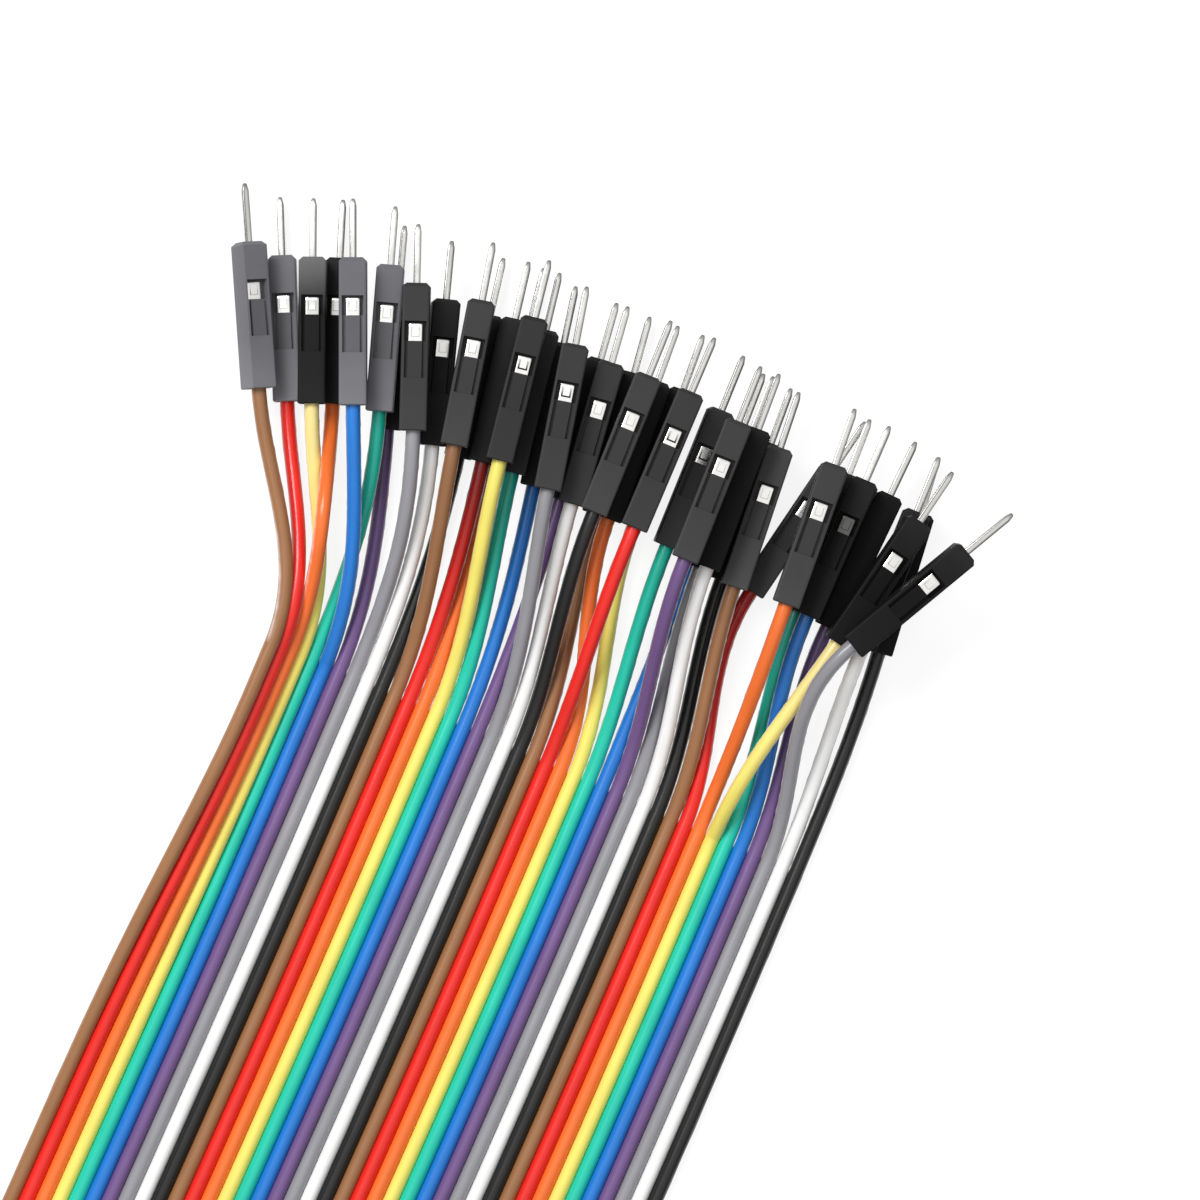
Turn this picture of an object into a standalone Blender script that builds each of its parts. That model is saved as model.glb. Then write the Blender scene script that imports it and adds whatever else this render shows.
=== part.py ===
# A ribbon of forty jumper wires for a breadboard: forty insulated wires bonded side by side, split free at
# both ends, each with a one-way plug whose square pin pushes into the board.
# The ribbon lies on the ground along Y. The near plugs, at +Y, are fanned out and piled up; the far plugs,
# at -Y, are stacked two high. Lengths are in metres and angles in degrees.

import math

import bmesh
import bpy
import numpy as np
from mathutils import Matrix, Vector

MM = 0.001

# The wires and the ribbon that they make
way_count = 40
insulation_diameter = 1.34 * MM
bond_width = 0.06 * MM  # of the thin web between two ways
bonded_length = 134.0 * MM
near_free_length = 22.0 * MM  # the split ends, measured along the ribbon
far_free_length = 20.0 * MM

# The one-way plug: a crimp housing with its terminal and square pin
housing_width = 2.54 * MM
housing_length = 13.5 * MM
nose_chamfer = 0.35 * MM
plug_gap = 0.30 * MM  # between neighbours, side by side or one above the other
pin_width = 0.64 * MM
pin_length = 5.4 * MM
pin_taper_length = 0.7 * MM
pin_tip_width = 0.34 * MM
window_setback = 3.5 * MM  # from the nose to the window's front edge
window_length = 1.8 * MM
window_width = 2.0 * MM
window_depth = 0.7 * MM
terminal_width = 1.2 * MM
terminal_gap = 0.25 * MM  # between the window's opening and the top of the terminal
tongue_length = 3.4 * MM
tongue_width = 1.3 * MM
slot_width = 0.3 * MM  # the cuts along both sides of the latch tongue
slot_depth = 0.5 * MM
pocket_clearance = 0.30 * MM  # round the wire where it enters the housing
pocket_depth = 3.6 * MM
wire_seat_gap = 0.30 * MM

# The lift of the ribbon's first ways, where its left edge curls up towards the near plugs
curl_angle = 50.0
curl_links = 6  # the bonds that bend, counted from the first way
curl_easing_links = 3  # over which the bend eases off
curl_from = -54.0 * MM  # where the curl and the sway begin, measured from the near split
curl_full = -4.0 * MM
sway_from = -42.0 * MM
sway = 0.45 * MM  # sideways, to the left, at the near split

# Near plugs. Each row: way, place across in plug spacings from the ribbon's middle, rear end's place ahead
# of the mean in mm, lean to the right, level in the pile, roll about the pin.
near_plugs = [
    (1, -12.87, -1.0, -28.0, 1.16, 28),
    (2, -11.93, -1.0, -26.0, 0, 0),
    (3, -10.55, 0.5, -21.0, 0, 0),
    (4, -11.11, -0.3, -23.5, 1, 0),
    (5, -9.01, 1.6, -19.5, 1, 0),
    (6, -9.82, 1.1, -24.0, 2, 0),
    (7, -8.59, 0.4, -19.0, 0, 90),
    (8, -7.72, 1.2, -22.5, 2, 0),
    (9, -7.00, 0.7, -18.5, 1, 7),
    (10, -6.12, 0.7, -11.0, 0, 90),
    (11, -6.32, 1.5, -13.0, 2, 0),
    (12, -5.29, 1.2, -11.0, 1, -90),
    (13, -4.90, 1.3, -10.0, 0, -90),
    (14, -4.78, 1.9, -10.0, 2, 0),
    (15, -4.28, 1.4, -10.5, 1, 90),
    (16, -3.48, 1.1, -12.0, 0, 90),
    (17, -2.50, 1.0, -8.0, 0, -90),
    (18, -2.99, 1.3, -13.0, 2, 0),
    (19, -2.11, 1.0, -8.0, 1, 0),
    (20, -1.33, 1.1, -2.0, 2, 0),
    (21, -1.28, 1.1, -8.5, 0, 90),
    (22, 0.06, 1.3, -1.0, 2, 0),
    (23, -0.83, 1.1, -4.0, 1, -90),
    (24, 0.03, 1.4, -4.0, 0, 90),
    (25, 1.27, 1.0, -2.0, 1, 5),
    (26, 2.23, 0.4, -3.0, 0, 90),
    (27, 1.96, 0.5, -2.5, 3, 0),
    (28, 2.54, 0.4, -3.0, 1, -90),
    (29, 2.72, 0.7, -3.5, 2, 90),
    (30, 3.35, 0.2, -4.0, 0, 90),
    (31, 3.79, 0.1, -5.5, 1, 0),
    (32, 4.38, 0.4, 10.0, 0, 0),
    (33, 5.50, 0.5, -4.5, 3, 0),
    (34, 7.55, -0.8, 10.0, 2, 5),
    (35, 5.96, 0.4, -3.0, 1, 90),
    (36, 6.31, 0.4, -0.5, 2, -5),
    (37, 7.09, 0.2, 1.5, 1, 90),
    (38, 7.99, -0.5, 26.5, 3, 5),
    (39, 8.39, -0.2, -2.0, 1, -90),
    (40, 8.98, 0.0, -7.0, 0, 90),
]

# Split ends that pass over or under a neighbour: way, rise of the hump in mm, its place along the split end
humps = {
    2: (0.8, 0.30), 3: (4.2, 0.57), 4: (-0.4, 0.65), 6: (1.3, 0.25), 18: (0.4, 0.30),
    22: (1.0, 0.35), 29: (0.3, 0.30), 31: (0.5, 0.30), 34: (2.8, 0.30), 36: (0.3, 0.30), 38: (0.3, 0.30),
}

# The solid's facets. A hexagon's corners stand out as far as gives it the round wire's area.
near_segments = 6
far_segments = 2
curl_stations = 5
hexagon_area_factor = 1.5 * math.sqrt(3)
side_corner_height = 0.5  # of a hexagon that stands on a corner, as a share of its radius
wire_radius = 0.5 * insulation_diameter * math.sqrt(math.pi / hexagon_area_factor)
near_stiffness = 0.37  # how far the free ends hold their direction, as a share of their reach
far_stiffness = 0.40

# Everything below follows from the sizes above
way_pitch = insulation_diameter + bond_width
plug_spacing = housing_width + plug_gap
near_split = 0.0
far_split = near_split - bonded_length
pocket_width = insulation_diameter + 2 * pocket_clearance
wire_insert = pocket_depth - wire_seat_gap
plugs_per_block = 4
block_count = way_count // plugs_per_block
block_spacing = 2 * plug_spacing

ways = {row[0]: row[1:] for row in near_plugs}

colours = {
    "brown": (0.27, 0.15, 0.075),
    "red": (0.80, 0.035, 0.025),
    "orange": (0.90, 0.17, 0.04),
    "yellow": (0.92, 0.78, 0.13),
    "green": (0.01, 0.38, 0.24),
    "blue": (0.02, 0.17, 0.62),
    "purple": (0.16, 0.075, 0.27),
    "grey": (0.28, 0.28, 0.31),
    "white": (0.87, 0.87, 0.86),
    "black": (0.018, 0.018, 0.018),
}


def material(name, colour, roughness, metallic=0.0):
    made = bpy.data.materials.new(name)
    made.use_nodes = True
    shader = made.node_tree.nodes["Principled BSDF"]
    shader.inputs["Base Color"].default_value = (*colour, 1.0)
    shader.inputs["Roughness"].default_value = roughness
    shader.inputs["Metallic"].default_value = metallic
    return made


def smooth_step(value):
    value = np.clip(value, 0.0, 1.0)
    return value * value * (3 - 2 * value)


def ribbon_section(along):
    """Each way's centre and tilt across the bonded ribbon at this place along it."""
    way = np.arange(1, way_count + 1)
    link = way[:-1]
    fade = smooth_step((along - curl_from) / (curl_full - curl_from))
    bend = math.radians(curl_angle) * fade * smooth_step((curl_links - link) / curl_easing_links)
    across = (way - (way_count + 1) / 2) * way_pitch
    height = np.full(way_count, wire_radius)
    for index in range(way_count - 2, -1, -1):
        if bend[index] > 0:
            across[index] = across[index + 1] - way_pitch * math.cos(bend[index])
            height[index] = height[index + 1] + way_pitch * math.sin(bend[index])
    across -= sway * max(0.0, (along - sway_from) / (near_split - sway_from)) ** 2
    tilt = np.zeros(way_count)
    tilt[:-1] += bend / 2
    tilt[1:] += bend / 2
    tilt[0] = bend[0]
    return across, height, tilt


def plug_place(way):
    """A near plug's rear centre and its turn: local +Y is the way that its pin points."""
    across, ahead, lean, level, roll = ways[way]
    rear = Vector((
        across * plug_spacing,
        near_split + near_free_length + ahead * MM,
        housing_width / 2 + level * plug_spacing,
    ))
    turn = Matrix.Rotation(-math.radians(lean), 4, "Z") @ Matrix.Rotation(math.radians(roll), 4, "Y")
    return rear, turn


def far_plug_place(way):
    """A far plug's rear centre. The plugs stand in blocks, two wide and two high, pins towards -Y."""
    stack, seat = divmod(way - 1, plugs_per_block)
    column, row = divmod(seat, 2)
    across = (stack - (block_count - 1) / 2) * block_spacing + (column - 0.5) * housing_width
    height = (row + 0.5) * housing_width
    return Vector((across, far_split - far_free_length, height))


def bezier(start, leave, arrive, end, count):
    share = np.linspace(0.0, 1.0, count + 1)[1:, None]
    rest = 1 - share
    return (
        rest**3 * np.array(start)
        + 3 * rest**2 * share * np.array(leave)
        + 3 * rest * share**2 * np.array(arrive)
        + share**3 * np.array(end)
    ), share[:, 0]


def near_tail(way):
    """Points of a free near end, from the split to the bottom of the plug's pocket."""
    across, height, _ = ribbon_section(near_split)
    start = Vector((across[way - 1], near_split, height[way - 1]))
    rear, turn = plug_place(way)
    ahead = (turn @ Vector((0, 1, 0))).normalized()
    first = Vector((-2 * sway / (near_split - sway_from), 1, 0)).normalized()
    reach = (rear - start).length * near_stiffness
    points, share = bezier(start, start + first * reach, rear - ahead * reach, rear, near_segments)
    if way in humps:
        rise, peak = humps[way]
        warped = share ** (math.log(0.5) / math.log(peak))
        points[:, 2] += rise * MM * np.sin(math.pi * warped) ** 2
    return [Vector(p) for p in points] + [rear + ahead * wire_insert]


def far_tail(way):
    across, height, _ = ribbon_section(far_split)
    start = Vector((across[way - 1], far_split, height[way - 1]))
    rear = far_plug_place(way)
    back = Vector((0, -1, 0))
    reach = (rear - start).length * far_stiffness
    points, _ = bezier(start, start + back * reach, rear - back * reach, rear, far_segments)
    return [Vector(p) for p in points] + [rear + back * wire_insert]


def hexagon(bm, centre, tangent, up):
    """Six corners round a wire, from the top, clockwise seen along its direction."""
    side = tangent.cross(up).normalized()
    level = side.cross(tangent).normalized()
    corners = []
    for corner in range(6):
        angle = math.radians(60 * corner)
        corners.append(bm.verts.new(
            centre + wire_radius * (math.cos(angle) * level + math.sin(angle) * side)
        ))
    return corners


def skin(bm, ring, following, face_material):
    for index in range(len(ring)):
        after = (index + 1) % len(ring)
        face = bm.faces.new((ring[index], ring[after], following[after], following[index]))
        face.material_index = face_material


def grow_tail(bm, ring, points, start, up, face_material):
    """Carries a wire's skin from its ring at the split along its own points, and closes its end."""
    previous = start
    for index, point in enumerate(points):
        ahead = points[index + 1] if index + 1 < len(points) else point + (point - previous)
        tangent = (ahead - previous).normalized()
        righted = up.lerp(Vector((0, 0, 1)), (index + 1) / len(points))
        following = hexagon(bm, point, tangent, righted)
        skin(bm, ring, following, face_material)
        ring = following
        previous = point
    bm.faces.new(ring).material_index = face_material


def bonded_row(bm, along):
    """The ribbon's section here: each way's top and bottom, and the upper and lower corners of the grooves."""
    across, height, tilt = ribbon_section(along)
    centres = [Vector((x, along, z)) for x, z in zip(across, height)]
    ups = [Vector((math.sin(t), 0, math.cos(t))) for t in tilt]
    tops = [bm.verts.new(c + wire_radius * u) for c, u in zip(centres, ups)]
    bottoms = [bm.verts.new(c - wire_radius * u) for c, u in zip(centres, ups)]
    upper, lower = [], []
    for index in range(way_count + 1):
        if index == 0:
            middle = centres[0] - 0.5 * way_pitch * ups[0].cross(Vector((0, -1, 0)))
            up = ups[0]
        elif index == way_count:
            middle = centres[-1] + 0.5 * way_pitch * ups[-1].cross(Vector((0, -1, 0)))
            up = ups[-1]
        else:
            middle = (centres[index - 1] + centres[index]) / 2
            up = ((ups[index - 1] + ups[index]) / 2).normalized()
        half = side_corner_height * wire_radius * up
        upper.append(bm.verts.new(middle + half))
        lower.append(bm.verts.new(middle - half))
    return {"centres": centres, "ups": ups, "tops": tops, "bottoms": bottoms, "upper": upper, "lower": lower}


def split_ring(row, index, forwards):
    """A way's six corners at the split, in the order that hexagon() gives for this direction."""
    near, far = (index + 1, index) if forwards else (index, index + 1)
    return [row["tops"][index], row["upper"][near], row["lower"][near],
            row["bottoms"][index], row["lower"][far], row["upper"][far]]


def make_ribbon(insulation):
    """One solid: bonded ways with a groove between each two, and eighty free ends."""
    bm = bmesh.new()
    stations = [far_split] + list(np.linspace(curl_from, near_split, curl_stations + 1))
    rows = [bonded_row(bm, along) for along in stations]
    shades = [index % len(insulation) for index in range(way_count)]
    for back, front in zip(rows, rows[1:]):
        for index, shade in enumerate(shades):
            for ridge, groove in (("tops", "upper"), ("bottoms", "lower")):
                for left, right in (((groove, index), (ridge, index)), ((ridge, index), (groove, index + 1))):
                    face = bm.faces.new((
                        back[left[0]][left[1]], back[right[0]][right[1]],
                        front[right[0]][right[1]], front[left[0]][left[1]],
                    ))
                    face.material_index = shade
        for side, shade in ((0, shades[0]), (way_count, shades[-1])):
            face = bm.faces.new((
                back["upper"][side], back["lower"][side], front["lower"][side], front["upper"][side],
            ))
            face.material_index = shade
    near, far = rows[-1], rows[0]
    for index, shade in enumerate(shades):
        way = index + 1
        for row, tail, forwards in ((near, near_tail(way), True), (far, far_tail(way), False)):
            ring = split_ring(row, index, forwards)
            grow_tail(bm, ring, tail, row["centres"][index], row["ups"][index], shade)
    bmesh.ops.recalc_face_normals(bm, faces=bm.faces[:])
    mesh = bpy.data.meshes.new("ribbon")
    bm.to_mesh(mesh)
    bm.free()
    for finish in insulation:
        mesh.materials.append(finish)
    ribbon = bpy.data.objects.new("ribbon", mesh)
    return ribbon


def block(bm, low, high, finish=0):
    """An axis-aligned box between two corners."""
    low, high = Vector(low), Vector(high)
    made = bmesh.ops.create_cube(bm, size=1.0)["verts"]
    size = high - low
    bmesh.ops.scale(bm, vec=size, verts=made)
    bmesh.ops.translate(bm, vec=(low + high) / 2, verts=made)
    for face in {face for vertex in made for face in vertex.link_faces}:
        face.material_index = finish
    return made


def mesh_of(name, bm, finishes):
    mesh = bpy.data.meshes.new(name)
    bm.to_mesh(mesh)
    bm.free()
    for finish in finishes:
        mesh.materials.append(finish)
    return mesh


def joined(name, carrier, tools):
    """The carrier's mesh after each tool is cut away or added, in turn."""
    body = bpy.data.objects.new(name, carrier)
    collection.objects.link(body)
    helpers = []
    for operation, tool in tools:
        helper = bpy.data.objects.new("tool", tool)
        cutters.objects.link(helper)
        modifier = body.modifiers.new("shape", "BOOLEAN")
        modifier.operation = operation
        modifier.object = helper
        helpers.append(helper)
    bpy.context.view_layer.update()
    evaluated = body.evaluated_get(bpy.context.evaluated_depsgraph_get())
    result = bpy.data.meshes.new_from_object(evaluated)
    result.name = name
    for extra in [body] + helpers:
        bpy.data.objects.remove(extra)
    return result


def draw_out(bm, length, inset):
    """Grows the block's front face forward, towards +Y, and draws its edges in."""
    front = max(bm.faces, key=lambda face: face.calc_center_median().y)
    grown = bmesh.ops.extrude_discrete_faces(bm, faces=[front])["faces"]
    for vertex in grown[0].verts:
        vertex.co.x -= math.copysign(inset, vertex.co.x)
        vertex.co.z -= math.copysign(inset, vertex.co.z)
        vertex.co.y += length


def housing_body(name, finishes, columns, rows):
    """Housings side by side and one above the other in one solid with a chamfered nose."""
    bm = bmesh.new()
    wide, high = columns * housing_width / 2, rows * housing_width / 2
    block(bm, (-wide, 0, -high), (wide, housing_length - nose_chamfer, high))
    draw_out(bm, nose_chamfer, nose_chamfer)
    return mesh_of(name, bm, finishes)


def window_cut(finishes):
    bm = bmesh.new()
    top = housing_width / 2
    front = housing_length - window_setback
    block(bm, (-window_width / 2, front - window_length, top - window_depth),
          (window_width / 2, front, top + window_depth))
    return mesh_of("window", bm, finishes)


def slot_cuts(finishes):
    """The two slots beside the latch tongue. They open into the window."""
    bm = bmesh.new()
    top = housing_width / 2
    window_back = housing_length - window_setback - window_length
    for side in (-1, 1):
        inner = side * tongue_width / 2
        outer = side * (tongue_width / 2 + slot_width)
        block(bm, (min(inner, outer), window_back - tongue_length, top - slot_depth),
              (max(inner, outer), window_back + slot_width, top + slot_depth))
    return mesh_of("slots", bm, finishes)


def pocket_cut(finishes):
    """The hole that the wire goes into."""
    bm = bmesh.new()
    half = pocket_width / 2
    block(bm, (-half, -half, -half), (half, pocket_depth, half))
    return mesh_of("pocket", bm, finishes)


def pin_solid(finishes):
    """The terminal's square pin with its tapered tip, rooted in the housing."""
    bm = bmesh.new()
    half = pin_width / 2
    root = housing_length - window_setback / 2
    block(bm, (-half, root, -half), (half, housing_length + pin_length - pin_taper_length, half), 1)
    draw_out(bm, pin_taper_length, (pin_width - pin_tip_width) / 2)
    return mesh_of("pin", bm, finishes)


def window_terminal(finishes):
    """The terminal's box where it shows in the window, standing on the window's floor."""
    bm = bmesh.new()
    window_front = housing_length - window_setback
    floor = housing_width / 2 - window_depth
    half = terminal_width / 2
    block(bm, (-half, window_front - window_length - slot_width, floor - slot_depth / 2),
          (half, window_front - terminal_gap, housing_width / 2 - terminal_gap), 1)
    return mesh_of("terminal", bm, finishes)


plug_steps = (
    ("DIFFERENCE", window_cut), ("DIFFERENCE", slot_cuts), ("DIFFERENCE", pocket_cut),
    ("UNION", pin_solid), ("UNION", window_terminal),
)


def plug_mesh(name, finishes):
    """One housing with its terminal. Its rear centre is at the origin, and its pin points to +Y."""
    tools = [(operation, shape(finishes)) for operation, shape in plug_steps]
    return joined(name, housing_body(name, finishes, 1, 1), tools)


def far_block_mesh(name, finishes):
    """Four far plugs in one solid, about the middle of their rear ends on the ground.
    The lower two lie face down, so that no window is shut in between two housings."""
    backwards = Matrix.Rotation(math.pi, 4, "Z")
    face_down = Matrix.Rotation(math.pi, 4, "Y")
    middle = Vector(((0.5 - block_count / 2) * block_spacing, far_split - far_free_length, 0))
    body = housing_body(name, finishes, 2, 2)
    body.transform(Matrix.Translation((0, 0, housing_width)) @ backwards)
    tools = []
    for way in range(1, plugs_per_block + 1):
        place = far_plug_place(way) - middle
        lower = place.z < housing_width
        seat = Matrix.Translation(place) @ backwards @ (face_down if lower else Matrix())
        for operation, shape in plug_steps:
            tool = shape(finishes)
            tool.transform(seat)
            tools.append((operation, tool))
    return joined(name, body, tools)


def plan_corners():
    """Corners, seen from above, of every plug with its pin, from which the origin is placed."""
    half = housing_width / 2
    corners = []
    for way in ways:
        rear, turn = plug_place(way)
        for across, along in ((-half, 0), (half, 0), (-half, housing_length), (half, housing_length),
                              (0, housing_length + pin_length)):
            corners.append(rear + turn @ Vector((across, along, 0)))
    for way in (1, way_count):
        rear = far_plug_place(way)
        corners.append(rear + Vector((0, -housing_length - pin_length, 0)))
    return corners


for obj in list(bpy.data.objects):
    bpy.data.objects.remove(obj)

collection = bpy.data.collections.new("jumper_wire_ribbon")
bpy.context.scene.collection.children.link(collection)
cutters = bpy.data.collections.new("cutters")
bpy.context.scene.collection.children.link(cutters)

corners = plan_corners()
origin = Vector((
    -(min(c.x for c in corners) + max(c.x for c in corners)) / 2,
    -(min(c.y for c in corners) + max(c.y for c in corners)) / 2,
    0,
))

insulation = [material("insulation_" + name, colour, 0.32) for name, colour in colours.items()]
black_plastic = material("housing_black", (0.022, 0.022, 0.024), 0.45)
grey_plastic = material("housing_charcoal", (0.10, 0.10, 0.11), 0.45)
metal = material("plated_brass", (0.75, 0.74, 0.70), 0.25, 1.0)

ribbon = make_ribbon(insulation)
collection.objects.link(ribbon)
ribbon.location = origin

black_plug = plug_mesh("plug_black", [black_plastic, metal])
charcoal_plug = black_plug.copy()
charcoal_plug.materials[0] = grey_plastic
charcoal_ways = {1, 2, 5, 6}
for way in sorted(ways):
    rear, turn = plug_place(way)
    near = bpy.data.objects.new(f"plug_{way:02d}", charcoal_plug if way in charcoal_ways else black_plug)
    near.location = rear + origin
    near.rotation_euler = turn.to_euler()
    collection.objects.link(near)

far_block = far_block_mesh("far_plug_block", [black_plastic, metal])
for index in range(block_count):
    stack = bpy.data.objects.new(f"far_plugs_{index + 1:02d}", far_block)
    across = (index - (block_count - 1) / 2) * block_spacing
    stack.location = Vector((across, far_split - far_free_length, 0)) + origin
    collection.objects.link(stack)
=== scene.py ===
import math

import bpy
import numpy as np
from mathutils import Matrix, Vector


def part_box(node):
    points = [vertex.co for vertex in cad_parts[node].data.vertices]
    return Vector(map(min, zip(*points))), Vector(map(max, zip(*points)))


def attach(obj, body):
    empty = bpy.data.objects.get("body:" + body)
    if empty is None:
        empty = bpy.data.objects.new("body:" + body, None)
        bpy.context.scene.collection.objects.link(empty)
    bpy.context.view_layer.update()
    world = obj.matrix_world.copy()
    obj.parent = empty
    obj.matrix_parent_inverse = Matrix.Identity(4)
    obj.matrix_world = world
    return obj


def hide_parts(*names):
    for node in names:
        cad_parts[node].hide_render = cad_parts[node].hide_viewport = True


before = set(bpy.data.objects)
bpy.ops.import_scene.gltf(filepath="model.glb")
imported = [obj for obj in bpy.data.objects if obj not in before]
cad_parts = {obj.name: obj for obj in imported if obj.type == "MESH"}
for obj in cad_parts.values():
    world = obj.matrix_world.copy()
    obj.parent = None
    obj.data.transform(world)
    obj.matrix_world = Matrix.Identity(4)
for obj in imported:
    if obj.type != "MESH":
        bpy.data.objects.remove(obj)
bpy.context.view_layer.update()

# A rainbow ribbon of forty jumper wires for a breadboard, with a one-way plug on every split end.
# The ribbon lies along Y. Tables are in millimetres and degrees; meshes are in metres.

mm = 0.001


# Shader maths as Python expressions

class Flow:
    # A number on its way through a node tree. An operator on it adds the Math node.
    def __init__(self, finish, socket):
        self.finish, self.socket = finish, socket

    def calc(self, operation, *values):
        return self.finish.add("ShaderNodeMath", {"operation": operation}, dict(enumerate(values)))

    def __add__(self, other):
        return self.calc("ADD", self, other)

    def __sub__(self, other):
        return self.calc("SUBTRACT", self, other)

    def __rsub__(self, other):
        return self.calc("SUBTRACT", other, self)

    def __mul__(self, other):
        return self.calc("MULTIPLY", self, other)

    def __pow__(self, other):
        return self.calc("POWER", self, other)

    __radd__ = __add__
    __rmul__ = __mul__


class Finish:
    # A material, or the world, whose nodes are added one call at a time
    def __init__(self, owner):
        owner.use_nodes = True
        self.owner, self.tree = owner, owner.node_tree
        self.tree.nodes.clear()

    def add(self, kind, settings=None, sockets=None, output=0):
        made = self.tree.nodes.new(kind)
        for key, value in (settings or {}).items():
            setattr(made, key, value)
        for key, value in (sockets or {}).items():
            if isinstance(value, Flow):
                self.tree.links.new(value.socket, made.inputs[key])
            else:
                made.inputs[key].default_value = value
        return Flow(self, made.outputs[output] if made.outputs else None)

    def mixColour(self, share, first, second):
        return self.add("ShaderNodeMix", {"data_type": "RGBA"}, {0: share, 6: first, 7: second}, 2)

    def noise(self, vector, grain):
        # grain is the noise's scale and its detail
        scale, detail = grain
        return self.add("ShaderNodeTexNoise", {}, {"Vector": vector, "Scale": scale, "Detail": detail})

    def mark(self, name):
        return self.add("ShaderNodeAttribute", {"attribute_name": name}, {}, 2)

    def close(self, shader, target="ShaderNodeOutputMaterial"):
        self.add(target, {}, {"Surface": shader})
        return self.owner


def newFinish(name):
    return Finish(bpy.data.materials.new(name))


def hue(red, green, blue):
    # A colour given as it looks on screen, 0 to 255, as the linear numbers that a shader takes
    screen = np.array([red, green, blue]) / 255
    linear = np.where(screen <= 0.04045, screen / 12.92, ((screen + 0.055) / 1.055) ** 2.4)
    return (*linear.tolist(), 1.0)


# Surfaces

def unit(vectors):
    return vectors / np.linalg.norm(vectors, axis=-1, keepdims=True)


def smoothStep(value):
    value = np.clip(value, 0.0, 1.0)
    return value * value * (3 - 2 * value)


def gridMesh(name, grids, finish, wrap=None, marks=None, sharpAngle=None):
    # Each grid is stations by ring by 3, the ring closed on itself: each cell becomes one face, and the first
    # and last rings are closed with a fan to their centres. marks names a number for every grid point, which
    # the finish can read.
    corners, faces, layers = [], [], []
    for points in grids:
        stations, ring = points.shape[:2]
        base = sum(len(part) for part in corners)
        cell = base + np.arange(stations * ring).reshape(stations, ring)
        after = np.roll(cell, -1, axis=1)
        first = base + stations * ring
        corners += [points.reshape(-1, 3), points[0].mean(axis=0)[None], points[-1].mean(axis=0)[None]]
        faces += np.stack([cell[:-1], cell[1:], after[1:], after[:-1]], axis=-1).reshape(-1, 4).tolist()
        faces += np.stack([cell[0], after[0], np.full(ring, first)], axis=-1).tolist()
        faces += np.stack([after[-1], cell[-1], np.full(ring, first + 1)], axis=-1).tolist()
        if wrap is not None:
            around, along = wrap
            left, right = np.tile(around[:-1], (stations - 1, 1)), np.tile(around[1:], (stations - 1, 1))
            back, front = np.repeat(along[:-1, None], ring, axis=1), np.repeat(along[1:, None], ring, axis=1)
            sides = np.stack([np.stack([left, left, right, right], axis=-1),
                              np.stack([back, front, front, back], axis=-1)], axis=-1)
            ends = np.zeros((6 * ring, 2))
            ends[3 * ring:, 1] = along[-1]
            layers += [sides.reshape(-1, 2), ends]
    made = bpy.data.meshes.new(name)
    made.from_pydata(np.concatenate(corners).tolist(), [], faces)
    if layers:
        layer = made.uv_layers.new(name="wrap")
        layer.data.foreach_set("uv", np.concatenate(layers).astype(np.float32).ravel())
    for mark, parts in (marks or {}).items():
        values = [np.concatenate([part.ravel(), [part[0].mean(), part[-1].mean()]]) for part in parts]
        layer = made.attributes.new(mark, "FLOAT", "POINT")
        layer.data.foreach_set("value", np.concatenate(values).astype(np.float32))
    made.shade_smooth()
    if sharpAngle is not None:
        made.set_sharp_from_angle(angle=math.radians(sharpAngle))
    made.materials.append(finish)
    piece = bpy.data.objects.new(name, made)
    bpy.context.scene.collection.objects.link(piece)
    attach(piece, "root")
    return piece


# The camera looks straight down, turned as the photograph is. Its aim is set from the ribbon's near split.
camera = {"lens": 180.0, "sensor": 36.0, "turn": 24.0, "frameWidth": 110.4, "ahead": 16.0, "level": 4.0,
          "nearest": 0.01, "farthest": 10.0}


def placeCamera(aim):
    view = bpy.data.cameras.new("camera")
    view.lens, view.sensor_width = camera["lens"], camera["sensor"]
    away = camera["frameWidth"] * camera["lens"] / camera["sensor"]
    view.clip_start, view.clip_end = camera["nearest"], camera["farthest"]
    viewer = bpy.data.objects.new("camera", view)
    viewer.location = (aim[0], aim[1], (camera["level"] + away) * mm)
    viewer.rotation_euler = (0, 0, math.radians(camera["turn"]))
    bpy.context.scene.collection.objects.link(viewer)
    bpy.context.scene.camera = viewer


# The ribbon and its split ends
ribbon = {
    "ways": 40, "radius": 0.67, "pitch": 1.40, "bonded": 134.0, "nearFree": 22.0, "farFree": 20.0,
    "rest": 0.737,                              # height of the bonded wires' centres
    "curlAngle": 50.0, "curlLinks": 6, "curlEasing": 3, "curlFrom": -54.0, "curlFull": -4.0,
    "swayFrom": -42.0, "sway": 0.45,
    "nearStiffness": 0.37, "farStiffness": 0.40, "seat": 3.3,
    "webHalf": 0.20, "webReach": 0.703,         # half the bond's thickness, its reach from a wire's centre
    "tornHalf": 0.075, "tornReach": 0.055,      # what a torn bond leaves along a split wire
    "tearMarkHalf": 0.16, "tearFaint": 0.3,     # how high the tear's paler plastic reaches, how faint it gets
    "shadeReach": 24.0,                         # how far from a near plug the insulation takes painted shade or turns golden
    "flatStations": 9, "curlStations": 31, "nearStations": 49, "farStations": 15,
    "sides": 32, "wrapLength": 10.0,            # one unit of the wrap's second coordinate, along a wire
}
plugSize = {"width": 2.54, "spacing": 2.84, "sharp": 32.0}      # sharp: from what angle an edge stays one

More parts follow.
